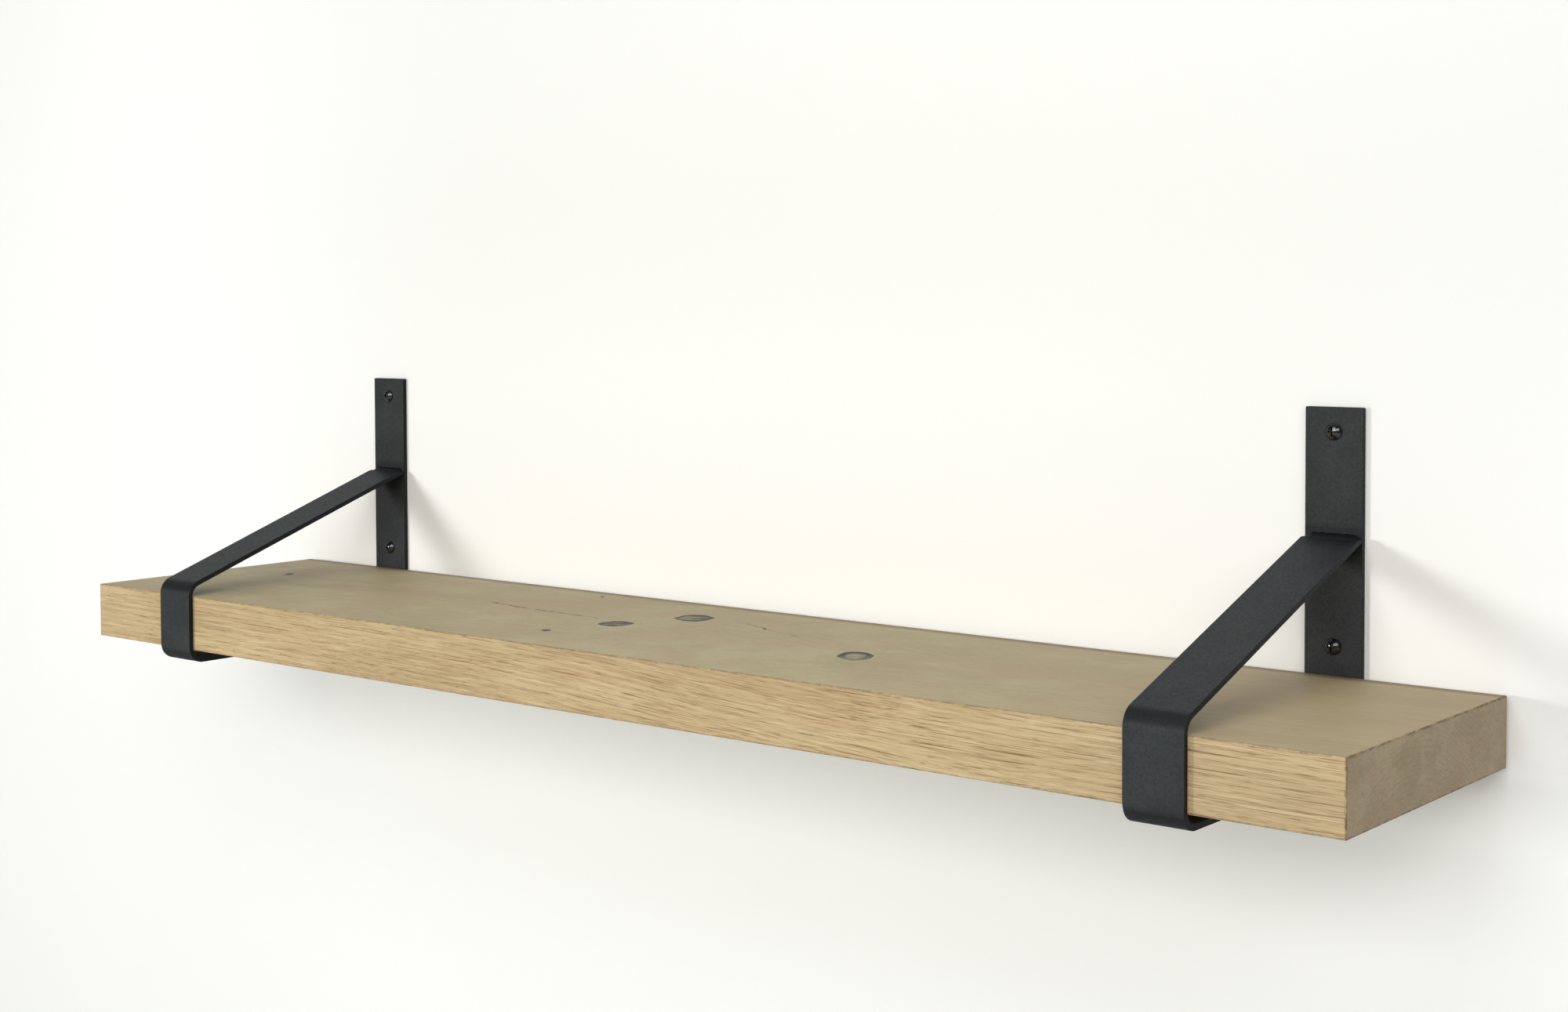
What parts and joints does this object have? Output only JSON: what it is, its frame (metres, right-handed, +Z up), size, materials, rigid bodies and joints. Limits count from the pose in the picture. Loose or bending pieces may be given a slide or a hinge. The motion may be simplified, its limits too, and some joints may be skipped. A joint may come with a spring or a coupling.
{
  "type": "wall shelf with brackets",
  "caption": "Thick straight oak shelf board carried in black bent flat-steel brackets, each with a tall wall strip and a sloping stay welded back to it.",
  "frame": {"origin": "centre of the four wall fixings, on the wall plane", "axes": "+X along the board to the viewer's right, +Y into the wall, +Z up"},
  "size_m": [1.16, 0.2945, 0.234],
  "materials": {
    "oak": "sawn and sanded oak, matt oiled",
    "powder_coated_steel": "matt black fine-texture powder coat",
    "coated_weld": "powder-coated weld bead",
    "black_screw": "gloss black screw",
    "nylon": "grey moulded nylon"
  },
  "bodies": {
    "root": {"board_screw_left_front": "black_screw", "board_screw_left_rear": "black_screw", "board_screw_right_front": "black_screw", "board_screw_right_rear": "black_screw", "bracket_left": "powder_coated_steel", "bracket_right": "powder_coated_steel", "shelf_board": "oak", "wall_plug_left_lower": "nylon", "wall_plug_left_upper": "nylon", "wall_plug_right_lower": "nylon", "wall_plug_right_upper": "nylon", "wall_screw_left_lower": "black_screw", "wall_screw_left_upper": "black_screw", "wall_screw_right_lower": "black_screw", "wall_screw_right_upper": "black_screw", "weld_left": "coated_weld", "weld_right": "coated_weld"}
  },
  "joints": []
}
